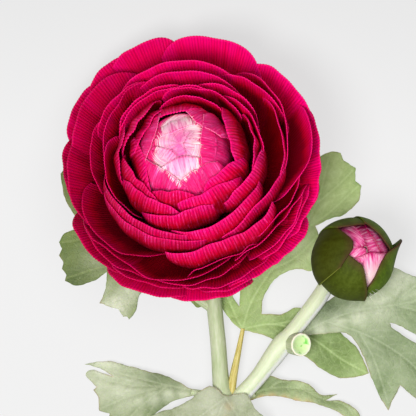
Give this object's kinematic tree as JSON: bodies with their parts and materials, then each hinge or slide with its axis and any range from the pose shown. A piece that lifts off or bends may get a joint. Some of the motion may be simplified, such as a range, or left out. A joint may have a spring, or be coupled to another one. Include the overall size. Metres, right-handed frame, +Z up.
{
  "type": "persian buttercup flower",
  "caption": "Cut sprig of persian buttercup lying on a surface: an open many-petalled crimson bloom, a bud on a side stem and lobed leaves.",
  "frame": {"origin": "on the surface that the sprig lies on, in the middle of its footprint", "axes": "+Y along the main stem from its cut end to the bloom, +Z up out of the surface, the way the open bloom faces, +X towards the bud's side"},
  "size_m": [0.1344, 0.2118, 0.0538],
  "materials": {
    "petal": "soft satin with fine ribs",
    "heart": "soft satin, pale",
    "stem": "smooth, slightly waxy",
    "leaf": "matt with fine veins",
    "sepal": "smooth satin",
    "bud_petal": "soft satin",
    "calyx": "matt"
  },
  "bodies": {
    "root": {"stems": "stem", "bloom_petals": "petal", "bloom_heart": "heart", "bloom_calyx": "calyx", "bud_petals": "bud_petal", "bud_sepals": "sepal", "leaf_back_right": "leaf", "leaf_right": "leaf", "leaf_back_left": "leaf", "leaf_folded": "leaf", "leaf_left": "leaf", "leaf_front": "leaf"}
  },
  "joints": []
}
